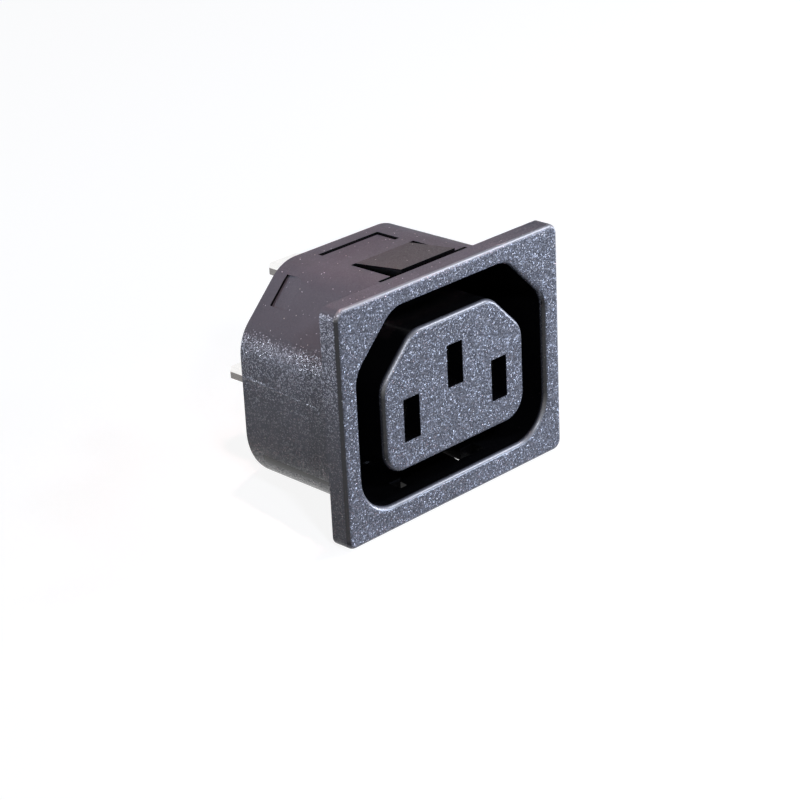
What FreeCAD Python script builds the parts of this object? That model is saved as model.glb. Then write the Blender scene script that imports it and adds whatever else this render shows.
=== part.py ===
"""Snap-in panel outlet for an appliance plug connector.

The front of the flange faces -Y, +Z is up and +X is to the right of someone facing the outlet. The origin
is where the socket's axis meets the flange's rear face, which lies on the panel. Sizes are in millimetres.
"""
import FreeCAD, Part
import os
import re

import Sketcher

# Driving dimensions. Everything below is worked out from these cells.
SIZES = {
    # Flange in front of the panel
    "flange_width": 34.8,
    "flange_height": 27.6,
    "flange_thick": 2.5,
    "flange_corner": 1.2,
    "flange_edge": 0.6,
    # Shell that passes through the panel
    "side_rim": 1.8,
    "top_rim": 0.75,
    "bottom_rim": 1.55,
    "shell_depth": 15.3,
    "shell_chamfer": 7.0,
    "shell_bend": 5.0,
    "shell_corner": 7.0,
    "shell_draft": 0.5,
    "shell_edge": 0.25,
    # Recess that takes the shroud of the plug
    "side_wall": 0.85,
    "top_wall": 1.45,
    "recess_chamfer": 5.75,
    "recess_bend": 3.6,
    "recess_corner": 4.6,
    "recess_lip": 0.6,
    # Nose that enters the plug, on a base that fits a rebate in the rear of the shell
    "plug_gap_x": 3.55,
    "plug_gap_z": 3.4,
    "nose_chamfer": 4.9,
    "nose_bend": 3.2,
    "nose_corner": 3.0,
    "nose_edge": 0.6,
    "nose_wall": 2.0,
    "base_thick": 2.4,
    "base_rebate": 0.3,
    "base_clear": 0.05,
    # Pin pattern
    "pin_spacing": 14.0,
    "earth_rise": 4.0,
    "slot_width": 2.5,
    "slot_height": 5.0,
    "chamber_width": 4.4,
    "chamber_height": 4.6,
    # Snap tongues in the top and bottom walls
    "tongue_width": 8.4,
    "tongue_root": 7.9,
    "tongue_tip": 0.9,
    "tongue_proud": 0.8,
    "tongue_thick": 1.1,
    "tongue_slit": 0.7,
    "wing_width": 1.9,
    "wing_length": 1.9,
    "window_over": 0.8,
    # Sunk plates on the top and on the left chamfer
    "plate_width": 9.3,
    "plate_length": 3.5,
    "plate_back": 2.0,
    "plate_depth": 0.35,
    "mark_width": 4.0,
    "mark_length": 2.7,
    "mark_back": 2.0,
    "mark_shift": 1.7,
    "mark_depth": 0.3,
    # Rear cover
    "cover_width": 25.0,
    "cover_height": 20.0,
    "cover_chamfer": 5.6,
    "cover_corner": 2.0,
    "cover_thick": 2.0,
    "cover_seat": 1.0,
    "cover_clear": 0.1,
    "cover_edge": 0.4,
    # Contacts, folded from sheet, with tabs doubled to twice the sheet
    "sheet_thick": 0.4,
    "arm_height": 3.8,
    "arm_clear": 0.15,
    "arm_straight": 3.5,
    "pinch_gap": 1.5,
    "pinch_back": 2.8,
    "mouth_gap": 2.7,
    "bend_radius": 0.3,
    "pinch_bend": 1.0,
    "tab_width": 6.3,
    "tab_reach": 9.1,
    "tab_nose": 1.2,
    "tab_clear": 0.2,
    "tab_hole": 1.7,
    "tab_hole_back": 3.4,
    "earth_tab_lift": 5.9,
    "side_tab_drop": 0.6,
}

doc = FreeCAD.newDocument("appliance_outlet")
sheet = doc.addObject("Spreadsheet::Sheet", "Sizes")
for row, (alias, value) in enumerate(SIZES.items(), start=1):
    sheet.set(f"A{row}", alias)
    sheet.set(f"B{row}", str(value))
    sheet.setAlias(f"B{row}", alias)
doc.recompute()

# Sizes that follow from the driving ones, as expressions
DERIVED = {
    "shell_width": "(flange_width - 2 * side_rim)",
    "shell_height": "(flange_height - top_rim - bottom_rim)",
    "flange_drop": "((bottom_rim - top_rim) / 2)",
    "recess_width": "(shell_width - 2 * side_wall)",
    "recess_height": "(shell_height - 2 * top_wall)",
    "nose_width": "(recess_width - 2 * plug_gap_x)",
    "nose_height": "(recess_height - 2 * plug_gap_z)",
    "tab_thick": "(2 * sheet_thick)",
    "rebate_width": "(recess_width + 2 * base_rebate)",
    "rebate_height": "(recess_height + 2 * base_rebate)",
    "rebate_chamfer": "(recess_chamfer + base_rebate)",
    "rebate_bend": "(recess_bend + 3 * base_rebate)",
    "rebate_corner": "(recess_corner + 3 * base_rebate)",
    "cover_front": "(shell_depth - cover_seat)",
    "chamber_front": "(nose_wall - flange_thick)",
}


def bind(text):
    """The expression with every size name written as a cell of the sheet."""
    for word, expression in reversed(DERIVED.items()):
        text = re.sub(rf"\b{word}\b", expression, text)
    return re.sub(r"[a-z_]+", lambda found: cell_name(found.group()), text)


def cell_name(word):
    return f"Sizes.{word}" if word in SIZES else word


def drive(thing, prop, text):
    thing.setExpression(prop, bind(text))


def new_body(label):
    body = doc.addObject("PartDesign::Body", label)
    body.Label = label
    return body


def sketch_on(body, name, role, offset):
    """A sketch on one of the body's origin planes, moved along the plane's normal by an expression."""
    plane = next(f for f in body.Origin.OriginFeatures if f.Role == role)
    sketch = body.newObject("Sketcher::SketchObject", name)
    sketch.AttachmentSupport = (plane, [""])
    sketch.MapMode = "FlatFace"
    drive(sketch, "AttachmentOffset.Base.z", offset)
    return sketch


def front_sketch(body, name, depth):
    """A sketch facing the front, at a depth behind the panel face; its X is +X and its Y is +Z."""
    return sketch_on(body, name, "XZ_Plane", f"-({depth})")


def add_polygon(sketch, corners):
    """Closed straight-sided outline whose corners are (across, up) expressions."""
    first = sketch.GeometryCount
    count = len(corners)
    start = [FreeCAD.Vector(i + 1, (i + 1) ** 2, 0) for i in range(count)]
    for i in range(count):
        sketch.addGeometry(Part.LineSegment(start[i], start[(i + 1) % count]), False)
    for i in range(count):
        sketch.addConstraint(Sketcher.Constraint("Coincident", first + i, 2, first + (i + 1) % count, 1))
    for i, corner in enumerate(corners):
        for kind, text, now in zip(("DistanceX", "DistanceY"), corner, start[i]):
            index = sketch.addConstraint(Sketcher.Constraint(kind, -1, 1, first + i, 1, now))
            drive(sketch, f"Constraints[{index}]", text)


def add_rectangle(sketch, middle_x, middle_y, width, height):
    left, right = (f"{middle_x} {sign} ({width}) / 2" for sign in "-+")
    low, high = (f"{middle_y} {sign} ({height}) / 2" for sign in "-+")
    add_polygon(sketch, [(left, low), (right, low), (right, high), (left, high)])


def add_connector_outline(sketch, width, height, chamfer):
    """Rectangle with its two top corners cut off at 45 degrees, the outline that stops wrong insertion."""
    side, top = f"{width} / 2", f"{height} / 2"
    add_polygon(sketch, [
        (f"-{side}", f"-{top}"),
        (side, f"-{top}"),
        (side, f"{top} - {chamfer}"),
        (f"{side} - {chamfer}", top),
        (f"-{side} + {chamfer}", top),
        (f"-{side}", f"{top} - {chamfer}"),
    ])


def pad(body, name, sketch, length, reversed_=False, midplane=False, taper=None):
    feature = body.newObject("PartDesign::Pad", name)
    return extrude(feature, sketch, length, reversed_, midplane, taper)


def pocket(body, name, sketch, length, reversed_=False, midplane=False, taper=None):
    before = body.Shape.Volume
    feature = body.newObject("PartDesign::Pocket", name)
    extrude(feature, sketch, length, reversed_, midplane, taper)
    if body.Shape.Volume >= before:
        raise RuntimeError(f"{name} cuts nothing")
    return feature


def extrude(feature, sketch, length, reversed_, midplane, taper):
    feature.Profile = sketch
    feature.Reversed = reversed_
    feature.Midplane = midplane
    drive(feature, "Length", length)
    if taper:
        drive(feature, "TaperAngle", taper)
    sketch.Visibility = False
    doc.recompute()
    return feature


def fillet(body, name, radius, keep):
    """Rounds the edges of the body that the test keeps."""
    return dress(body, "PartDesign::Fillet", name, "Radius", radius, keep)


def chamfer(body, name, leg, keep):
    """Cuts off the edges of the body that the test keeps."""
    return dress(body, "PartDesign::Chamfer", name, "Size", leg, keep)


def dress(body, kind, name, prop, text, keep):
    tip = body.Tip
    names = [f"Edge{i}" for i, edge in enumerate(tip.Shape.Edges, start=1) if keep(edge)]
    if not names:
        raise RuntimeError(f"{name} finds no edge")
    feature = body.newObject(kind, name)
    feature.Base = (tip, names)
    drive(feature, prop, text)
    doc.recompute()
    if "Invalid" in feature.State:
        raise RuntimeError(f"{name} fails")
    return feature


SAME = 1e-4
MARGIN = 0.1


def near(a, b):
    return abs(a - b) < SAME


def anywhere(point):
    return True


def above(point):
    return point.z > 0


def below(point):
    return point.z < 0


def depths(edge):
    return sorted(vertex.Point.y for vertex in edge.Vertexes)


def runs_between(front, back, test):
    """Edges that run from one depth to another and whose middle passes the test."""
    def keep(edge):
        span = depths(edge)
        ends = len(span) == 2 and near(span[0], front) and near(span[1], back)
        return ends and test(edge.CenterOfMass)
    return keep


def lies_at(depth, test):
    """Edges that lie wholly at one depth and whose middle passes the test."""
    def keep(edge):
        box = edge.BoundBox
        return near(box.YMin, depth) and near(box.YMax, depth) and test(edge.CenterOfMass)
    return keep


def rim_at(body, depth):
    """Edges of the outer rim of the body's flat face at one depth."""
    boxes = ((face, face.BoundBox) for face in body.Tip.Shape.Faces)
    face = next(face for face, box in boxes if near(box.YMin, depth) and near(box.YMax, depth))
    return lambda edge: any(edge.isSame(other) for other in face.OuterWire.Edges)


def upright_at(depth):
    """Edges that stand upright at one depth."""
    def keep(edge):
        ends = [vertex.Point for vertex in edge.Vertexes]
        return len(ends) == 2 and near(ends[0].x, ends[1].x) and all(near(end.y, depth) for end in ends)
    return keep


def size(alias):
    return getattr(sheet, alias)


front_y = -size("flange_thick")
rear_y = size("shell_depth")
base_y = rear_y - size("base_thick")
recess_half = size("flange_width") / 2 - size("side_rim") - size("side_wall")
recess_top = (size("flange_height") - size("top_rim") - size("bottom_rim")) / 2 - size("top_wall")
PINS = {
    "line": ("-pin_spacing / 2", "-earth_rise / 2"),
    "neutral": ("pin_spacing / 2", "-earth_rise / 2"),
    "earth": ("0", "earth_rise / 2"),
}


def in_recess(point):
    return abs(point.x) < recess_half + MARGIN and abs(point.z) < recess_top + MARGIN


def outside_recess(point):
    return not in_recess(point)


def build_housing():
    """Flange, shell and snap tongues, moulded as one and open from front to rear."""
    body = new_body("housing")
    add_outer_form(body)
    cut_recess(body)
    cut_rebate(body)
    round_shell(body)
    fillet(body, "recess_lip_edges", "recess_lip", lies_at(front_y, in_recess))
    fillet(body, "flange_edges", "flange_edge", lies_at(front_y, outside_recess))
    add_tongues(body)
    sink_plates(body)
    return body


def add_outer_form(body):
    flange = front_sketch(body, "flange_outline", "0")
    add_rectangle(flange, "0", "-flange_drop", "flange_width", "flange_height")
    pad(body, "flange", flange, "flange_thick")
    fillet(body, "flange_corners", "flange_corner", runs_between(front_y, 0, anywhere))
    shell = front_sketch(body, "shell_outline", "0")
    add_connector_outline(shell, "shell_width", "shell_height", "shell_chamfer")
    pad(body, "shell", shell, "shell_depth", reversed_=True, taper="-shell_draft")


def cut_recess(body):
    """The recess, right through."""
    mouth = front_sketch(body, "recess_outline", "-flange_thick")
    add_connector_outline(mouth, "recess_width", "recess_height", "recess_chamfer")
    pocket(body, "recess", mouth, "flange_thick + shell_depth + base_thick")
    fillet(body, "recess_bends", "recess_bend", runs_between(front_y, rear_y, above))
    fillet(body, "recess_corners", "recess_corner", runs_between(front_y, rear_y, below))


def cut_rebate(body):
    """The step in the rear of the shell that stops the nose block's base."""
    step = front_sketch(body, "rebate_outline", "shell_depth")
    add_connector_outline(step, "rebate_width", "rebate_height", "rebate_chamfer")
    pocket(body, "rebate", step, "base_thick", reversed_=True)
    fillet(body, "rebate_bends", "rebate_bend", runs_between(base_y, rear_y, above))
    fillet(body, "rebate_corners", "rebate_corner", runs_between(base_y, rear_y, below))


def round_shell(body):
    """The shell's own bends, last, because sharp corners of the recess or rebate would break through them."""
    fillet(body, "shell_bends", "shell_bend", runs_between(0, rear_y, above))
    fillet(body, "shell_corners", "shell_corner", runs_between(0, rear_y, below))
    chamfer(body, "shell_edges", "shell_edge", rim_at(body, rear_y))


def build_nose_block():
    """The slotted nose on a base that closes the rear of the shell, with the contacts' chambers in it."""
    body = new_body("nose_block")
    base = front_sketch(body, "base_outline", "shell_depth - base_thick")
    base_width, base_height = (f"({name} - 2 * base_clear)" for name in ("rebate_width", "rebate_height"))
    add_connector_outline(base, base_width, base_height, "rebate_chamfer")
    pad(body, "base", base, "base_thick", reversed_=True)
    fillet(body, "base_bends", "rebate_bend", runs_between(base_y, rear_y, above))
    fillet(body, "base_corners", "rebate_corner", runs_between(base_y, rear_y, below))
    face = front_sketch(body, "nose_outline", "-flange_thick")
    add_connector_outline(face, "nose_width", "nose_height", "nose_chamfer")
    pad(body, "nose", face, "flange_thick + shell_depth - base_thick", reversed_=True)
    fillet(body, "nose_bends", "nose_bend", runs_between(front_y, base_y, above))
    fillet(body, "nose_corners", "nose_corner", runs_between(front_y, base_y, below))
    fillet(body, "nose_edges", "nose_edge", lies_at(front_y, anywhere))
    cut_contact_chambers(body)
    return body


def cut_contact_chambers(body):
    """The cover's seat, three chambers cored from the rear, and slots through the nose's front wall."""
    seat = front_sketch(body, "cover_seat_outline", "shell_depth")
    seat_width, seat_height = (f"({name} + 2 * cover_clear)" for name in ("cover_width", "cover_height"))
    add_connector_outline(seat, seat_width, seat_height, "cover_chamfer")
    pocket(body, "cover_seat", seat, "cover_seat", reversed_=True)
    seat_front = rear_y - size("cover_seat")
    corners = runs_between(seat_front, rear_y, anywhere)
    fillet(body, "seat_corners", "cover_corner + cover_clear", corners)
    chambers = front_sketch(body, "chamber_outlines", "cover_front")
    slots = front_sketch(body, "slot_outlines", "-flange_thick")
    for middle_x, middle_z in PINS.values():
        add_rectangle(chambers, middle_x, middle_z, "chamber_width", "chamber_height")
        add_rectangle(slots, middle_x, middle_z, "slot_width", "slot_height")
    pocket(body, "chambers", chambers, "cover_front - chamber_front", reversed_=True)
    pocket(body, "slots", slots, "nose_wall")
    raised = front_sketch(body, "earth_bridge_outline", "cover_front")
    add_rectangle(
        raised, "0", "earth_rise / 2 + earth_tab_lift / 2", "chamber_width",
        "earth_tab_lift + tab_thick + 2 * arm_clear",
    )
    pocket(body, "earth_bridge_pocket", raised, "sheet_thick + arm_clear", reversed_=True)


def add_tongues(body):
    """A window in the top wall and a tongue in it that slopes out to its free end, then the same below."""
    half = "(tongue_width / 2 + tongue_slit)"
    wing = "(tongue_width / 2 + tongue_slit + wing_width)"
    window = sketch_on(body, "window_outline", "XY_Plane", "shell_height / 2 + tongue_proud")
    add_polygon(window, [
        (f"-{wing}", "0"),
        (wing, "0"),
        (wing, "wing_length"),
        (half, "wing_length"),
        (half, "tongue_root"),
        (f"-{half}", "tongue_root"),
        (f"-{half}", "wing_length"),
        (f"-{wing}", "wing_length"),
    ])
    through = "top_wall + tongue_proud + window_over"
    cut = pocket(body, "window", window, through)
    side = sketch_on(body, "tongue_profile", "YZ_Plane", "0")
    tip_top = "shell_height / 2 + tongue_proud"
    root_top = "shell_height / 2 - tongue_root * tan(shell_draft * 1deg)"
    anchor = "tongue_root + tongue_thick"
    add_polygon(side, [
        ("tongue_tip", f"{tip_top} - tongue_thick"),
        ("tongue_root", f"{root_top} - tongue_thick"),
        (anchor, f"{root_top} - tongue_thick"),
        (anchor, f"{root_top} - tongue_thick / 2"),
        ("tongue_root", root_top),
        ("tongue_tip", tip_top),
    ])
    tongue = pad(body, "tongue", side, "tongue_width", midplane=True)
    mirror = body.newObject("PartDesign::Mirrored", "lower_tongue")
    mirror.Originals = [cut, tongue]
    plane = next(f for f in body.Origin.OriginFeatures if f.Role == "XY_Plane")
    mirror.MirrorPlane = (plane, [""])
    body.Tip = mirror
    doc.recompute()


def sink_plates(body):
    """The shallow bare plates: one on the top behind the tongue, one on the left chamfer."""
    middle = "(shell_depth - plate_back - plate_length / 2)"
    plate = sketch_on(body, "plate_outline", "XY_Plane", "shell_height / 2")
    add_rectangle(plate, "0", middle, "plate_width", "plate_length")
    pocket(body, "plate", plate, f"plate_depth + {middle} * tan(shell_draft * 1deg)")
    add_chamfer_mark(body)


def add_chamfer_mark(body):
    """A wedge sunk in the left chamfer: a step at its rear edge, running out to nothing at the front."""
    wedge = sketch_on(body, "mark_profile", "YZ_Plane", "0")
    wedge.AttachmentOffset = FreeCAD.Placement(
        FreeCAD.Vector(0, 0, 0), FreeCAD.Rotation(FreeCAD.Vector(1, 0, 0), -45)
    )
    along = "((shell_height - shell_width) / 2 / sqrt(2) + mark_shift) / sqrt(2)"
    drive(wedge, "AttachmentOffset.Base.y", along)
    drive(wedge, "AttachmentOffset.Base.z", along)
    face = "((shell_width + shell_height) / 2 - shell_chamfer) / sqrt(2)"
    rear = "(shell_depth - mark_back)"
    front = "(shell_depth - mark_back - mark_length)"
    add_polygon(wedge, [
        (front, f"{face} - {front} * tan(shell_draft * 1deg)"),
        (rear, f"{face} - {rear} * tan(shell_draft * 1deg) - mark_depth"),
        (rear, f"{face} + mark_depth"),
        (front, f"{face} + mark_depth"),
    ])
    pocket(body, "mark", wedge, "mark_width", midplane=True)


def build_cover():
    """Plate that closes the rear and holds the contacts forward in their chambers."""
    body = new_body("rear_cover")
    outline = front_sketch(body, "cover_outline", "cover_front")
    add_connector_outline(outline, "cover_width", "cover_height", "cover_chamfer")
    pad(body, "plate", outline, "cover_thick", reversed_=True)
    front = rear_y - size("cover_seat")
    back = front + size("cover_thick")
    fillet(body, "corners", "cover_corner", runs_between(front, back, anywhere))
    fillet(body, "rear_edges", "cover_edge", lies_at(back, anywhere))
    slits = front_sketch(body, "tab_slits", "cover_front")
    for name, (middle_x, _) in PINS.items():
        add_rectangle(
            slits, middle_x, tab_height(name), "tab_width + 2 * tab_clear", "tab_thick + 2 * tab_clear",
        )
    pocket(body, "slits", slits, "cover_thick")
    return body


def tab_height(name):
    """Height of the middle of a contact's tab."""
    _, middle_z = PINS[name]
    return f"{middle_z} + earth_tab_lift" if name == "earth" else f"{middle_z} - side_tab_drop"


def build_contact(name):
    """Two spring arms joined by a bridge at the rear, and a tab of doubled sheet behind the bridge."""
    middle_x, middle_z = PINS[name]
    body = new_body(f"{name}_contact")
    plan = sketch_on(body, "arms_plan", "XY_Plane", middle_z)
    add_arms_plan(plan, middle_x)
    pad(body, "arms", plan, "arm_height", midplane=True)
    bridge_back = rear_y - size("cover_seat")
    bridge_front = bridge_back - size("sheet_thick")
    bend_arms(body, bridge_front, bridge_back)
    if name == "earth":
        bridge = front_sketch(body, "bridge_outline", "cover_front")
        high = f"{tab_height(name)} + tab_thick / 2"
        half = "(chamber_width / 2 - arm_clear - sheet_thick - bend_radius)"
        corners = [(f"-{half}", middle_z), (half, middle_z), (half, high), (f"-{half}", high)]
        add_polygon(bridge, corners)
        pad(body, "bridge", bridge, "sheet_thick")
        top = size("earth_rise") / 2 + size("earth_tab_lift") + size("sheet_thick")
        bend = lies_at(bridge_front, lambda point: near(point.z, top))
        fillet(body, "tab_bend", "bend_radius", bend)
    tab = sketch_on(body, "tab_outline", "XY_Plane", tab_height(name))
    left, right = (f"{middle_x} {sign} tab_width / 2" for sign in "-+")
    tip = "shell_depth + tab_reach"
    add_polygon(tab, [
        (left, "cover_front"),
        (right, "cover_front"),
        (right, f"{tip} - tab_nose"),
        (f"{right} - tab_nose", tip),
        (f"{left} + tab_nose", tip),
        (left, f"{tip} - tab_nose"),
    ])
    pad(body, "tab", tab, "tab_thick", midplane=True)
    hole = sketch_on(body, "hole_outline", "XY_Plane", f"{tab_height(name)} + tab_thick")
    hole.addGeometry(Part.Circle(FreeCAD.Vector(1, 1, 0), FreeCAD.Vector(0, 0, 1), 1), False)
    middle_y = f"{tip} - tab_hole_back"
    for kind, text in (("DistanceX", middle_x), ("DistanceY", middle_y)):
        index = hole.addConstraint(Sketcher.Constraint(kind, -1, 1, 0, 3, 1))
        drive(hole, f"Constraints[{index}]", text)
    index = hole.addConstraint(Sketcher.Constraint("Diameter", 0, 2))
    drive(hole, f"Constraints[{index}]", "tab_hole")
    pocket(body, "hole", hole, "2 * tab_thick")
    return body


def bend_arms(body, bridge_front, bridge_back):
    """Rounds the folds at the bridge's corners and at the pinch."""
    mouth = size("nose_wall") - size("flange_thick") + size("arm_clear")
    fillet(body, "outer_folds", "bend_radius + sheet_thick", upright_at(bridge_back))
    fillet(body, "inner_folds", "bend_radius", upright_at(bridge_front))
    fillet(body, "pinch", "pinch_bend", upright_at(mouth + size("pinch_back")))


def add_arms_plan(sketch, middle_x):
    """Bridge and both arms from above: straight at the rear, closing to the pinch, flaring to the mouth."""
    outer = "(chamber_width / 2 - arm_clear)"
    mouth = "chamber_front + arm_clear"
    pinch = f"{mouth} + pinch_back"
    straight = "cover_front - arm_straight"
    right_outside = [
        (outer, "cover_front"),
        (outer, straight),
        ("(pinch_gap / 2 + sheet_thick)", pinch),
        ("(mouth_gap / 2 + sheet_thick)", mouth),
    ]
    right_inside = [
        ("(mouth_gap / 2)", mouth),
        ("(pinch_gap / 2)", pinch),
        (f"({outer} - sheet_thick)", straight),
        (f"({outer} - sheet_thick)", "cover_front - sheet_thick"),
    ]
    right = right_outside + right_inside
    corners = [(f"{middle_x} + {x}", y) for x, y in right]
    corners += [(f"{middle_x} - {x}", y) for x, y in reversed(right)]
    add_polygon(sketch, corners)


sub_parts = [build_housing(), build_nose_block(), build_cover()]
sub_parts += [build_contact(name) for name in PINS]
doc.recompute()

for thing in doc.Objects:
    if "Invalid" in thing.State or "Error" in thing.State:
        raise RuntimeError(f"{thing.Label} failed: {thing.State}")
os.makedirs("parts", exist_ok=True)
for body in sub_parts:
    shape = body.Shape
    if shape.isNull() or not shape.isValid() or len(shape.Solids) != 1:
        raise RuntimeError(f"{body.Label} is not one valid solid")
for body in sub_parts:
    body.Shape.exportStep(f"parts/{body.Label}.step")
    print(body.Label, round(body.Shape.Volume, 1), "mm3", body.Shape.BoundBox)
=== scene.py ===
# %% [markdown]
# # A snap-in appliance outlet, from CAD frame to picture
# The real object is a black moulded outlet that snaps into a sheet-metal panel: a flange, a recess with
# a slotted nose in it, a shell with two snap tongues, and three bright tabs behind. Its shape comes
# from CAD, so this script spends its effort on what CAD can't give: the surface of each material, the
# light and the camera.

# %% Load the CAD frame
import math

import bmesh
import bpy
from mathutils import Matrix, Vector


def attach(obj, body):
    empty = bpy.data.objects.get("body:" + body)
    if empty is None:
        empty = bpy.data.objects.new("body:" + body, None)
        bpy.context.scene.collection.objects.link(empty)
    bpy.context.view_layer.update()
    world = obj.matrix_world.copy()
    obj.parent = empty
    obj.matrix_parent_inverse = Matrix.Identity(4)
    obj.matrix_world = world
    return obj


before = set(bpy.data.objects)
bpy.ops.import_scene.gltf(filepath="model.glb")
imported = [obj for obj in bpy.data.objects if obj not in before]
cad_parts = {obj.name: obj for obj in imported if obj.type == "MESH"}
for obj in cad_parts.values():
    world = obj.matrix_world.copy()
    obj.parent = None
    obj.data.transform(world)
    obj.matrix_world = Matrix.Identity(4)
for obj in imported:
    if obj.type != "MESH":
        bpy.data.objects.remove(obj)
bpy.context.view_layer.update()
print("nodes:", sorted(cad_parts))

# %% [markdown]
# ## Camera
# The camera was found by matching the corners of the slots and the outline of the outlet to the
# photograph. It could be aimed with a Track To constraint, but a fitted camera also rolls a little, so
# its three turns are given as angles and multiplied into one matrix. Everything is in metres, and the
# outlet is only 35 mm wide, so the camera must also be allowed to see things that are very near.

# %% Camera
MM = 0.001
PICTURE_PIXELS = 800
SENSOR_MM = 36
FOCAL_PIXELS = 2412.901
NEAREST_SEEN = 1 * MM
CAMERA_PLACE = Vector((-175.138, -170.285, 103.13)) * MM
CAMERA_YAW, CAMERA_PITCH, CAMERA_ROLL = -44.767, 23.431, -2.81


def turn(degrees, axis):
    return Matrix.Rotation(math.radians(degrees), 3, axis)


looking_along_y = Matrix(((1, 0, 0), (0, 0, -1), (0, 1, 0)))
tilt = turn(CAMERA_ROLL, "Z") @ turn(CAMERA_PITCH, "X")
right, down, forward = tilt @ looking_along_y @ turn(-CAMERA_YAW, "Z")
camera_turn = Matrix((right, -down, -forward)).transposed().to_4x4()
camera_data = bpy.data.cameras.new("photo_camera")
camera_data.sensor_width = SENSOR_MM
camera_data.lens = FOCAL_PIXELS / PICTURE_PIXELS * SENSOR_MM
camera_data.clip_start = NEAREST_SEEN
camera = bpy.data.objects.new("photo_camera", camera_data)
camera.matrix_world = Matrix.Translation(CAMERA_PLACE) @ camera_turn
bpy.context.scene.collection.objects.link(camera)
bpy.context.scene.camera = camera
print("lens", round(camera_data.lens, 1), "mm, distance", round(CAMERA_PLACE.length, 3), "m")

# %% [markdown]
# ## Nodes without clutter
# Every material here is a node tree. Adding nodes one property at a time buries the idea under
# bookkeeping, so one helper makes a node, sets its options, and fills or links its inputs. A value that
# is a socket is linked, anything else is typed in. The vector and mix nodes hold several sockets of one
# name, so those go by number.

# %% Node helpers
VECTOR_SCALE = 3
MIX_FACTOR, MIX_FIRST, MIX_SECOND, MIX_RESULT = 0, 6, 7, 2


def node(tree, kind, sockets=None, **options):
    made = tree.nodes.new(kind)
    for name, value in options.items():
        setattr(made, name, value)
    for name, value in (sockets or {}).items():
        if isinstance(value, bpy.types.NodeSocket):
            tree.links.new(value, made.inputs[name])
        else:
            made.inputs[name].default_value = value
    return made


def math_node(tree, operation, first, second=0.0):
    return node(tree, "ShaderNodeMath", {0: first, 1: second}, operation=operation).outputs[0]


def vector_node(tree, operation, first, second=(0, 0, 0), scale=1.0):
    sockets = {0: first, 1: second, VECTOR_SCALE: scale}
    return node(tree, "ShaderNodeVectorMath", sockets, operation=operation).outputs[0]


def ramp(tree, value, low, high, low_out=0.0, high_out=1.0):
    """A soft step from one output to another as the value goes from low to high."""
    sockets = {"Value": value, "From Min": low, "From Max": high, "To Min": low_out, "To Max": high_out}
    return node(tree, "ShaderNodeMapRange", sockets, interpolation_type="SMOOTHSTEP").outputs["Result"]


def blend(tree, mask, off_value, on_value):
    """The first value where the mask is 0 and the second where it is 1."""
    return ramp(tree, mask, 0.0, 1.0, off_value, on_value)


def colour_mix(tree, factor, first, second):
    sockets = {MIX_FACTOR: factor, MIX_FIRST: first, MIX_SECOND: second}
    return node(tree, "ShaderNodeMix", sockets, data_type="RGBA").outputs[MIX_RESULT]


def new_material(name):
    """A material with a Principled BSDF on its output, and the piece's own coordinates."""
    material = bpy.data.materials.new(name)
    material.use_nodes = True
    tree = material.node_tree
    tree.nodes.clear()
    shader = node(tree, "ShaderNodeBsdfPrincipled")
    node(tree, "ShaderNodeOutputMaterial", {"Surface": shader.outputs["BSDF"]})
    place = node(tree, "ShaderNodeTexCoord").outputs["Object"]
    return material, tree, shader, place


def new_group(name, inputs, outputs):
    """A shader node group with named sockets, given as {name: (type, default)} and {name: type}."""
    tree = bpy.data.node_groups.new(name, "ShaderNodeTree")
    for label, (kind, default) in inputs.items():
        socket = tree.interface.new_socket(label, in_out="INPUT", socket_type=kind)
        if default is not None:
            socket.default_value = default
    for label, kind in outputs.items():
        tree.interface.new_socket(label, in_out="OUTPUT", socket_type=kind)
    return tree, node(tree, "NodeGroupInput").outputs, node(tree, "NodeGroupOutput")


def placed(tree, group, sockets):
    return node(tree, "ShaderNodeGroup", sockets, node_tree=group).outputs


print("helpers ready")

# %% [markdown]
# ## The grain of a spark-eroded mould
# The outside of the moulding copies a mould that was eaten out by sparks, so it is covered in tiny
# craters about a tenth of a millimetre across. Each one leans its own way, and the few that face a lamp
# glitter. Real craters would need millions of faces, so a cell texture cuts the surface into cells and
# each cell's random colour leans its normal. Faces that look straight forward or back keep the full
# lean. The others slide along the mould when it opens and are rubbed smoother. A share of the cells is
# painted paler as well, as painted glints that stand in for the sparkle of the lamps. On the flanks
# they grow fewer and fainter towards the foot, and on the top there are hardly any, which follows the
# photograph. A slow noise gives the cloudiness of the moulding.
#
# The group also tells rounded edges that look up, rounded edges that stand upright, and the top from
# the rest, because the photograph shows them polished, dark and dull. The dark of the upright edges is
# painted shade, where they turn away from the lamps. Housing, nose and cover share all this, so it is a
# node group.

# %% Grain group
CRATER = 0.12 * MM
CLOUD, CLOUD_DETAIL = 5 * MM, 3.0
FULL_LEAN, RUBBED, SIDE_RUBBED = 1.0, 0.3, 0.42
# How many cells are painted paler as glints, and how bright: painted highlights that stand in for the lamps'
# sparkle
FRONT_SHARE, HIGH_SHARE, LOW_SHARE, TOP_SHARE = 0.2, 0.5, 0.3, 0.004
FULL_BRIGHT, FAINT = 1.0, 0.25
SPARKLE_LEVELS = -4 * MM, 7 * MM
MIDDLE_OF_RANDOM = (0.5, 0.5, 0.5)
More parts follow.
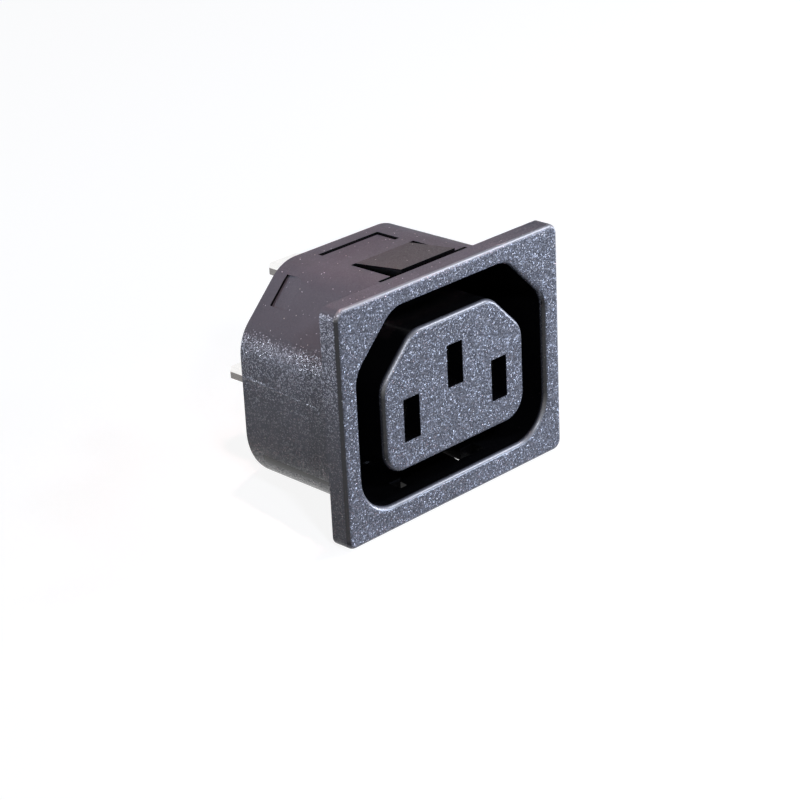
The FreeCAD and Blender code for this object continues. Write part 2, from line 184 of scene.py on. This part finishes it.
# Parts of a normal, as the values at which a kind of face begins and is complete
FRONT_TURN, ROUNDED_TURN, UPWARD_TURN = (0.85, 0.97), (0.15, 0.4), (-0.1, 0.3)
TOP_TURN, BARE_TURN = (0.5, 0.9), (0.3, 0.68)
FLANK_TURN, SIDEWAYS_TURN, LEVEL_TURN = (0.75, 0.95), (0.3, 0.55), (0.15, 0.45)
grain, given, result = new_group(
    "moulded_grain",
    {
        "Place": ("NodeSocketVector", None),
        "Facing": ("NodeSocketVector", None),
        "Lean": ("NodeSocketFloat", FULL_LEAN),
    },
    {
        "Normal": "NodeSocketVector",
        "Painted Glint": "NodeSocketFloat",
        "Cloud": "NodeSocketFloat",
        "Edge": "NodeSocketFloat",
        "Top": "NodeSocketFloat",
        "Upright": "NodeSocketFloat",
    },
)
cells = node(grain, "ShaderNodeTexVoronoi", {"Vector": given["Place"], "Scale": 1 / CRATER}).outputs
facing = node(grain, "ShaderNodeSeparateXYZ", {0: given["Facing"]}).outputs
fore_aft = math_node(grain, "ABSOLUTE", facing["Y"])
sideways = math_node(grain, "ABSOLUTE", facing["X"])
upwards = math_node(grain, "ABSOLUTE", facing["Z"])
front = ramp(grain, fore_aft, *FRONT_TURN)
rounded = math_node(grain, "SUBTRACT", ramp(grain, fore_aft, *ROUNDED_TURN), front)
edge = math_node(grain, "MULTIPLY", rounded, ramp(grain, facing["Z"], *UPWARD_TURN))
top = ramp(grain, facing["Z"], *TOP_TURN)
# Upright: rounded edges that stand upright, which the housing paints near black as painted shade
upright = math_node(grain, "MULTIPLY", rounded, ramp(grain, sideways, *SIDEWAYS_TURN))
upright = math_node(grain, "MULTIPLY", upright, ramp(grain, upwards, *LEVEL_TURN, 1.0, 0.0))

rubbed = ramp(grain, sideways, *FLANK_TURN, RUBBED, SIDE_RUBBED)
amount = math_node(grain, "MULTIPLY", given["Lean"], blend(grain, front, rubbed, FULL_LEAN))
random_way = vector_node(grain, "SUBTRACT", cells["Color"], MIDDLE_OF_RANDOM)
lean = vector_node(grain, "SCALE", random_way, scale=amount)
leaning = vector_node(grain, "NORMALIZE", vector_node(grain, "ADD", given["Facing"], lean))

up = node(grain, "ShaderNodeSeparateXYZ", {0: given["Place"]}).outputs["Z"]
# Painted glints: the share of paler cells, most on the front, fewer low on the flanks, almost none on the
# top
share = ramp(grain, up, *SPARKLE_LEVELS, LOW_SHARE, HIGH_SHARE)
share = ramp(grain, facing["Z"], *BARE_TURN, share, TOP_SHARE)
share = blend(grain, front, share, FRONT_SHARE)
bright = ramp(grain, up, *SPARKLE_LEVELS, FAINT, FULL_BRIGHT)
bright = blend(grain, front, bright, FULL_BRIGHT)
chance = node(grain, "ShaderNodeSeparateColor", {0: cells["Color"]}).outputs["Green"]
painted_glint = ramp(grain, chance, math_node(grain, "SUBTRACT", 1.0, share), 1.0)
painted_glint = math_node(grain, "MULTIPLY", painted_glint, bright)

cloud_sockets = {"Vector": given["Place"], "Scale": 1 / CLOUD, "Detail": CLOUD_DETAIL}
cloud = node(grain, "ShaderNodeTexNoise", cloud_sockets).outputs["Fac"]
grain_results = {
    "Normal": leaning, "Painted Glint": painted_glint, "Cloud": cloud, "Edge": edge, "Top": top, "Upright": upright,
}
for label, value in grain_results.items():
    grain.links.new(value, result.inputs[label])
print("group", grain.name, len(grain.nodes), "nodes")

# %% [markdown]
# ## Dust
# A part photographed close up is never quite clean: here and there lies a pale speck. Particles would
# be overkill, so a cell texture gives each cell a small ball. The cells fill space, so the surface only
# cuts the few balls that happen to lie on it, and they show as scattered dots.

# %% Dust group
DUST_SPACING = 1.1 * MM
DUST_CORE, DUST_RADIUS = 0.045, 0.075
dust, given, result = new_group("dust", {"Place": ("NodeSocketVector", None)}, {"Specks": "NodeSocketFloat"})
cells = node(dust, "ShaderNodeTexVoronoi", {"Vector": given["Place"], "Scale": 1 / DUST_SPACING}).outputs
dots = ramp(dust, cells["Distance"], DUST_CORE, DUST_RADIUS, 1.0, 0.0)
dust.links.new(dots, result.inputs["Specks"])
print("group", dust.name, len(dust.nodes), "nodes")

# %% [markdown]
# ## Where the recess is
# The walls of the recess were not spark eroded: they are smooth, and hardly any light gets between
# them, so they look black, and that black is painted into their colour as painted shade. The recess is
# a known shape in the CAD frame, a box with two cut-off top corners and two round lower ones, so a mask
# can be worked out from the coordinates alone. It begins just behind the rounded lips. More boxes take
# in what gets the same smoothness and the same painted shade: the windows beside the tongues, the three
# slots, the steps that look forward behind the flange, and the cut walls in the middle of the top and
# bottom. A second mask marks the tongues themselves, which get a painted shade of their own.

# %% Recess mask group
RECESS_HALF_WIDTH, RECESS_HALF_HEIGHT = 15.1 * MM, 11.6 * MM
RECESS_TOP_CORNER, RECESS_LOW_CORNER = 20.55 * MM, 23.6 * MM
LIP_STARTS, LIP_ENDS = -2.15 * MM, -1.75 * MM
BASE_FRONT = 13.0 * MM
WINDOW_HALF_WIDTH, WINDOW_HALF_HEIGHT, WINDOW_BACK = 6.9 * MM, 12.3 * MM, 8.0 * MM
SLOT_SPACING, SLOT_HALF_WIDTH, SLOT_HALF_HEIGHT = 7.0 * MM, 1.3 * MM, 2.55 * MM
EARTH_SLOT_UP, LINE_SLOT_UP, SLOT_FRONT = 2.0 * MM, -2.0 * MM, -2.42 * MM
STEPS_FRONT, STEPS_BACK = 0.3 * MM, 14.9 * MM
STEP_FACING, WALL_FACING = -0.5, 0.6
TONGUE_HALF_WIDTH, TONGUE_FOOT, TONGUE_BACK = 4.3 * MM, 12.4 * MM, 7.9 * MM
recess, given, result = new_group(
    "recess_mask",
    {"Place": ("NodeSocketVector", None), "Facing": ("NodeSocketVector", None)},
    {"Inside": "NodeSocketFloat", "Tongue": "NodeSocketFloat"},
)
axes = node(recess, "ShaderNodeSeparateXYZ", {0: given["Place"]}).outputs
facing = node(recess, "ShaderNodeSeparateXYZ", {0: given["Facing"]}).outputs
across = math_node(recess, "ABSOLUTE", axes["X"])
up_down = math_node(recess, "ABSOLUTE", axes["Z"])


def under(limits, inside=1.0):
    """The given value where every value is under its limit, and 0 elsewhere."""
    for value, limit in limits:
        inside = math_node(recess, "MULTIPLY", inside, math_node(recess, "LESS_THAN", value, limit))
    return inside


def off(value, middle):
    """How far a value is from the middle."""
    return math_node(recess, "ABSOLUTE", math_node(recess, "SUBTRACT", value, middle))


behind_lips = ramp(recess, axes["Y"], LIP_STARTS, LIP_ENDS)
hollow = under((
    (across, RECESS_HALF_WIDTH),
    (up_down, RECESS_HALF_HEIGHT),
    (math_node(recess, "ADD", across, axes["Z"]), RECESS_TOP_CORNER),
    (math_node(recess, "SUBTRACT", across, axes["Z"]), RECESS_LOW_CORNER),
    (axes["Y"], BASE_FRONT),
), behind_lips)
windows = under((
    (across, WINDOW_HALF_WIDTH),
    (up_down, WINDOW_HALF_HEIGHT),
    (axes["Y"], WINDOW_BACK),
), behind_lips)
in_slot = math_node(recess, "GREATER_THAN", axes["Y"], SLOT_FRONT)
earth_slot = under((
    (across, SLOT_HALF_WIDTH),
    (off(axes["Z"], EARTH_SLOT_UP), SLOT_HALF_HEIGHT),
), in_slot)
side_slots = under((
    (off(across, SLOT_SPACING), SLOT_HALF_WIDTH),
    (off(axes["Z"], LINE_SLOT_UP), SLOT_HALF_HEIGHT),
), in_slot)
# Steps that look forward behind the flange and the cut walls beside the tongues: smooth, and painted near
# black as painted shade
behind_flange = math_node(recess, "GREATER_THAN", axes["Y"], STEPS_FRONT)
steps = under(((facing["Y"], STEP_FACING),), behind_flange)
cuts = under((
    (across, WINDOW_HALF_WIDTH),
    (math_node(recess, "ABSOLUTE", facing["Z"]), WALL_FACING),
    (axes["Y"], STEPS_BACK),
), behind_flange)
inside = hollow
for more in (windows, earth_slot, side_slots, steps, cuts):
    inside = math_node(recess, "MAXIMUM", inside, more)
recess.links.new(inside, result.inputs["Inside"])
# Tongues: a mask for the tongues, which the housing paints darker as painted shade
far_out = math_node(recess, "GREATER_THAN", up_down, TONGUE_FOOT)
tongues = under((
    (across, TONGUE_HALF_WIDTH),
    (axes["Y"], TONGUE_BACK),
), math_node(recess, "MULTIPLY", behind_flange, far_out))
recess.links.new(tongues, result.inputs["Tongue"])
print("group", recess.name, len(recess.nodes), "nodes")

# %% [markdown]
# ## Housing plastic
# The housing is a black thermoplastic such as nylon. Outside it has the grain, inside the recess it is
# smooth and painted darker as shade, and the mask mixes the two. The leaning normals catch the lamps,
# and the paler cells are painted glints that keep some of the sparkle in the base colour. The tongues
# and the upright rounded edges are painted darker than the rest, as painted shade. The rounded edges
# that look up are polished, which is what the shader's coat is for, and the top is dull, so it is
# rougher. The nose is the same plastic, so one function makes both.

# %% Housing and nose material
PLASTIC_DARK, PLASTIC_LIGHT = (0.074, 0.075, 0.087, 1), (0.11, 0.111, 0.128, 1)
# Pale colour of the painted glints, a painted highlight standing in for the sparkle of the lamps
PAINTED_GLINT_COLOUR = (0.52, 0.53, 0.59, 1)
DUST_COLOUR = (0.45, 0.44, 0.42, 1)
# Near black painted shade for the recess, the windows, the slots, the forward steps and the cut walls
PAINTED_SHADE_COLOUR = (0.003, 0.003, 0.0035, 1)
# Darker colour of the tongues: painted shade, as they tilt back from the light in front
TONGUE_SHADE_COLOUR = (0.055, 0.055, 0.058, 1)
# Near black for the upright rounded edges: painted shade where they turn away from the lamps
UPRIGHT_SHADE_COLOUR = (0.02, 0.02, 0.022, 1)
PLASTIC_SPECULAR = 0.22
CLOUD_RANGE = 0.3, 0.7
PLASTIC_ROUGHNESS = 0.2, 0.26
TOP_ROUGHNESS, EDGE_ROUGHNESS, EDGE_IOR = 0.75, 0.36, 1.9
SMOOTH_LEAN = 0.02


def moulded_plastic(name):
    material, tree, shader, place = new_material(name)
    facing = node(tree, "ShaderNodeNewGeometry").outputs["Normal"]
    masks = placed(tree, recess, {"Place": place, "Facing": facing})
    inside = masks["Inside"]
    lean = blend(tree, inside, FULL_LEAN, SMOOTH_LEAN)
    rough = placed(tree, grain, {"Place": place, "Facing": facing, "Lean": lean})
    colour = colour_mix(tree, rough["Cloud"], PLASTIC_DARK, PLASTIC_LIGHT)
    colour = colour_mix(tree, rough["Painted Glint"], colour, PAINTED_GLINT_COLOUR)
    colour = colour_mix(tree, masks["Tongue"], colour, TONGUE_SHADE_COLOUR)
    colour = colour_mix(tree, rough["Upright"], colour, UPRIGHT_SHADE_COLOUR)
    specks = placed(tree, dust, {"Place": place})["Specks"]
    colour = colour_mix(tree, specks, colour, DUST_COLOUR)
    tree.links.new(colour_mix(tree, inside, colour, PAINTED_SHADE_COLOUR), shader.inputs["Base Color"])
    roughness = ramp(tree, rough["Cloud"], *CLOUD_RANGE, *PLASTIC_ROUGHNESS)
    outside = blend(tree, inside, 1.0, 0.0)
    outer_top = math_node(tree, "MULTIPLY", rough["Top"], outside)
    tree.links.new(blend(tree, outer_top, roughness, TOP_ROUGHNESS), shader.inputs["Roughness"])
    tree.links.new(math_node(tree, "MULTIPLY", rough["Edge"], outside), shader.inputs["Coat Weight"])
    shader.inputs["Coat Roughness"].default_value = EDGE_ROUGHNESS
    shader.inputs["Coat IOR"].default_value = EDGE_IOR
    shader.inputs["Specular IOR Level"].default_value = PLASTIC_SPECULAR
    tree.links.new(rough["Normal"], shader.inputs["Normal"])
    print("material", name, len(tree.nodes), "nodes")
    return material


housing_plastic = moulded_plastic("housing_plastic")
nose_plastic = moulded_plastic("nose_plastic")

# %% [markdown]
# ## Cover plastic
# The rear cover is a second moulding, from a plainer mould with a shallower grain. It uses the same
# group with less lean and without the painted glints, and it is darker and duller than the housing.

# %% Cover material
COVER_DARK, COVER_LIGHT = (0.035, 0.035, 0.038, 1), (0.06, 0.06, 0.066, 1)
COVER_LEAN = 0.4
COVER_ROUGHNESS = 0.4, 0.48
cover_plastic, tree, shader, place = new_material("cover_plastic")
facing = node(tree, "ShaderNodeNewGeometry").outputs["Normal"]
rough = placed(tree, grain, {"Place": place, "Facing": facing, "Lean": COVER_LEAN})
bare = colour_mix(tree, rough["Cloud"], COVER_DARK, COVER_LIGHT)
specks = placed(tree, dust, {"Place": place})["Specks"]
tree.links.new(colour_mix(tree, specks, bare, DUST_COLOUR), shader.inputs["Base Color"])
cover_roughness = ramp(tree, rough["Cloud"], *CLOUD_RANGE, *COVER_ROUGHNESS)
tree.links.new(cover_roughness, shader.inputs["Roughness"])
shader.inputs["Specular IOR Level"].default_value = PLASTIC_SPECULAR
tree.links.new(rough["Normal"], shader.inputs["Normal"])
print("material", cover_plastic.name, len(tree.nodes), "nodes")

# %% [markdown]
# ## Plated contacts
# The contacts are blanked from sheet that was plated with tin before it was cut. So their flat faces
# are bright, with faint lines along the way the sheet was rolled, while the cut edges show the bare
# alloy. The edges are painted dark grey, a painted reflection of dark surroundings in their narrow
# faces. The tabs lie flat, so an edge is any face that doesn't look up or down. The upright spring arms
# count as edges too, but they are hidden in the nose. A stretched noise makes the rolling lines.

# %% Contact material
PLATED, DULL_PLATED = (0.95, 0.95, 0.94, 1), (0.84, 0.84, 0.83, 1)
# Dark colour of the cut edges: a painted reflection of dark surroundings in the narrow faces
DARK_EDGE_REFLECTION = (0.22, 0.21, 0.2, 1)
LINE_WIDTH, LINE_LENGTH, LINE_DETAIL = 0.08 * MM, 6 * MM, 2.0
LINE_COLOUR_RANGE, LINE_ROUGH_RANGE = (0.35, 0.65), (0.3, 0.7)
PLATED_ROUGHNESS = 0.22, 0.36
FLAT_TURN = 0.5, 0.8
plated_contact, tree, shader, place = new_material("plated_contact")
stretched = node(tree, "ShaderNodeMapping", {
    "Vector": place, "Scale": (1 / LINE_WIDTH, 1 / LINE_LENGTH, 1 / LINE_WIDTH),
}).outputs[0]
line_sockets = {"Vector": stretched, "Scale": 1.0, "Detail": LINE_DETAIL}
lines = node(tree, "ShaderNodeTexNoise", line_sockets).outputs["Fac"]
normal = node(tree, "ShaderNodeNewGeometry").outputs["Normal"]
facing_up = node(tree, "ShaderNodeSeparateXYZ", {0: normal}).outputs["Z"]
flat = ramp(tree, math_node(tree, "ABSOLUTE", facing_up), *FLAT_TURN)
plating = colour_mix(tree, ramp(tree, lines, *LINE_COLOUR_RANGE), PLATED, DULL_PLATED)
tree.links.new(colour_mix(tree, flat, DARK_EDGE_REFLECTION, plating), shader.inputs["Base Color"])
shader.inputs["Metallic"].default_value = 1.0
contact_roughness = ramp(tree, lines, *LINE_ROUGH_RANGE, *PLATED_ROUGHNESS)
tree.links.new(contact_roughness, shader.inputs["Roughness"])
print("material", plated_contact.name, len(tree.nodes), "nodes")

# %% [markdown]
# ## One finish for each piece
# On the bench each piece is of one material, so each node gets one. Faces could be given materials one
# by one, but where a moulding changes its surface the masks already do that. The three contacts are
# stamped from the same strip and share theirs.

# %% Give each node its material
finishes = {
    "housing": housing_plastic,
    "nose_block": nose_plastic,
    "rear_cover": cover_plastic,
    "line_contact": plated_contact,
    "neutral_contact": plated_contact,
    "earth_contact": plated_contact,
}
for name, material in finishes.items():
    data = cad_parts[name].data
    data.materials.clear()
    data.materials.append(material)
    print(name, "->", material.name)

# %% [markdown]
# ## Parting line
# The two halves of the mould's slide meet on the flanks of the shell, and a little plastic creeps
# between them. It leaves a low ridge, fine at the flange and wider towards the back. A texture could
# draw it, but a ridge has a lit and a shaded side, so it is a thin solid: the convex hull of a small
# triangle at each end, with its edges rounded. The left one shows in the photograph, the right one is
# taken to be the same.

# %% Parting line ridges
FLANK_X, FLANK_DRAFT = 15.6, math.tan(math.radians(0.5))
# Each end's distance behind the panel, height, half width and how far it stands out, in millimetres
RIDGE_ENDS = ((1.2, 0.36, 0.08, 0.02), (14.9, 1.16, 0.42, 0.1))
RIDGE_ROOT, RIDGE_ROUNDING, RIDGE_SEGMENTS = 0.03, 0.01, 2
for name, mirror in (("parting_line_left", -1), ("parting_line_right", 1)):
    shape = bmesh.new()
    for y, z, half_width, height in RIDGE_ENDS:
        flank = FLANK_X - FLANK_DRAFT * y
        for out, side in ((-RIDGE_ROOT, -half_width), (-RIDGE_ROOT, half_width), (height, 0.0)):
            shape.verts.new(Vector((mirror * (flank + out), y, z + side)) * MM)
    bmesh.ops.convex_hull(shape, input=shape.verts)
    bmesh.ops.bevel(
        shape, geom=shape.edges, offset=RIDGE_ROUNDING * MM, affect="EDGES",
        segments=RIDGE_SEGMENTS, profile=0.5, material=-1,
    )
    bmesh.ops.recalc_face_normals(shape, faces=shape.faces)
    mesh = bpy.data.meshes.new(name)
    shape.to_mesh(mesh)
    shape.free()
    mesh.materials.append(housing_plastic)
    ridge = bpy.data.objects.new(name, mesh)
    bpy.context.scene.collection.objects.link(ridge)
    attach(ridge, "root")
    print(name, len(mesh.polygons), "faces")

# %% [markdown]
# ## Floor
# The outlet lies on the lower edge of its flange and on the rear edge of its shell, so the floor tilts
# a few degrees to touch both. The photograph's background is white. A white floor would throw too much
# light back, so the floor is grey, and rays that come from the camera also see a glow that lifts it to
# white while the shadow stays.

# %% Floor
FLANGE_FOOT = Vector((0, 0, -14.2)) * MM
SHELL_FOOT = Vector((0, 15.05, -12.52)) * MM
FLOOR_HALF = 1.0
FLOOR_COLOUR = (0.2, 0.2, 0.2, 1)
FLOOR_GLOW = 0.9
WHITE = (1, 1, 1, 1)


def seen_directly(tree):
    """1 for rays from the camera, mirrored and passed on ones too, and 0 for rays that only carry light."""
    rays = node(tree, "ShaderNodeLightPath").outputs
    seen = math_node(tree, "MAXIMUM", rays["Is Camera Ray"], rays["Is Glossy Ray"])
    return math_node(tree, "MAXIMUM", seen, rays["Is Transmission Ray"])


floor_tilt = math.atan2(SHELL_FOOT.z - FLANGE_FOOT.z, SHELL_FOOT.y - FLANGE_FOOT.y)
shape = bmesh.new()
bmesh.ops.create_grid(shape, x_segments=1, y_segments=1, size=FLOOR_HALF)
bmesh.ops.rotate(shape, cent=(0, 0, 0), matrix=Matrix.Rotation(floor_tilt, 3, "X"), verts=shape.verts)
bmesh.ops.translate(shape, vec=FLANGE_FOOT, verts=shape.verts)
floor_mesh = bpy.data.meshes.new("floor")
shape.to_mesh(floor_mesh)
shape.free()
floor = bpy.data.objects.new("floor", floor_mesh)
bpy.context.scene.collection.objects.link(floor)
floor_paint, tree, shader, _ = new_material("floor_paint")
shader.inputs["Base Color"].default_value = FLOOR_COLOUR
shader.inputs["Roughness"].default_value = 1.0
shader.inputs["Specular IOR Level"].default_value = 0.0
shader.inputs["Emission Color"].default_value = WHITE
glow = math_node(tree, "MULTIPLY", seen_directly(tree), FLOOR_GLOW)
tree.links.new(glow, shader.inputs["Emission Strength"])
floor_mesh.materials.append(floor_paint)
print("floor leans", round(math.degrees(floor_tilt), 2), "degrees")

# %% [markdown]
# ## Light
# Small lamps, like those of a table-top studio. Two bluish ones in front light the face and make its
# grain glitter, and a third grazes it from the right. Two more are placed so that the rounded edges
# mirror them. A reddish lamp overhead has a grid in front of it, so that it lights the top of the
# outlet and little of the floor, and another gridded lamp at the left rear makes the upper bend of the
# left flank shine. A lamp's level is how bright a white card that faces it would look, so levels near 1
# give a plain exposure. One large softbox would be simpler, but then too many craters would face it at
# once, and the glitter would turn into an even sheen.

# %% Lamps
LAMP_DISTANCE = 0.3
OUTLET_MIDDLE = (0, 6, 0)
NO_GRID = 180
BLUE, COOL, WARM = (0.62, 0.74, 1.0), (0.8, 0.85, 1.0), (1.0, 0.6, 0.6)


def softbox(name, direction, size, level, colour, aim=OUTLET_MIDDLE, spread=NO_GRID):
    """A rectangular lamp that looks at a point given in mm. A small spread is a grid in front of it."""
    data = bpy.data.lights.new(name, "AREA")
    data.shape = "RECTANGLE"
    data.size, data.size_y = size
    data.spread = math.radians(spread)
    # A grid gathers the same power into a narrower beam, so the power is cut to keep the level
    narrowing = 1 - data.spread / 2 / math.tan(data.spread / 2)
    data.energy = level * math.pi ** 2 * LAMP_DISTANCE ** 2 * narrowing
    data.color = colour
    lamp = bpy.data.objects.new(name, data)
    lamp.location = Vector(aim) * MM + Vector(direction).normalized() * LAMP_DISTANCE
    lamp.rotation_euler = Vector(direction).to_track_quat("Z", "Y").to_euler()
    bpy.context.scene.collection.objects.link(lamp)
    print("lamp", name, round(data.energy, 4), "W")


softbox("front_right", (0.75, -0.65, 0.02), (0.05, 0.05), 0.82, BLUE)
softbox("front", (0.3, -0.95, 0.05), (0.08, 0.08), 0.15, BLUE)
softbox("graze", (0.93, -0.32, 0.05), (0.05, 0.05), 0.35, COOL)
softbox("edge_left", (-0.31, -0.71, 0.6), (0.03, 0.03), 0.35, COOL)
softbox("edge_top", (0.66, -0.35, 0.63), (0.03, 0.03), 0.4, COOL)
softbox("overhead", (0.15, -0.02, 1.0), (0.02, 0.02), 1.0, WARM, aim=(-8, 4, 13), spread=14)
softbox("left_rear", (-0.75, 0.65, 0.0), (0.05, 0.02), 1.9, COOL, aim=(-15, 8, 40), spread=20)

# %% [markdown]
# ## Surroundings
# The photograph shows the outlet on plain white. A world that is white for every ray would light the
# black plastic from all sides and wash it out, so it is white only where it is seen, and gives a faint
# light otherwise. The Standard view transform keeps white at white.

# %% World
AMBIENT, SEEN_WHITE = 0.05, 1.0
world = bpy.data.worlds.new("studio")
bpy.context.scene.world = world
world.use_nodes = True
tree = world.node_tree
tree.nodes.clear()
strength = blend(tree, seen_directly(tree), AMBIENT, SEEN_WHITE)
sky = node(tree, "ShaderNodeBackground", {"Color": WHITE, "Strength": strength})
node(tree, "ShaderNodeOutputWorld", {"Surface": sky.outputs[0]})
bpy.context.scene.view_settings.view_transform = "Standard"
print("world", world.name, len(tree.nodes), "nodes")
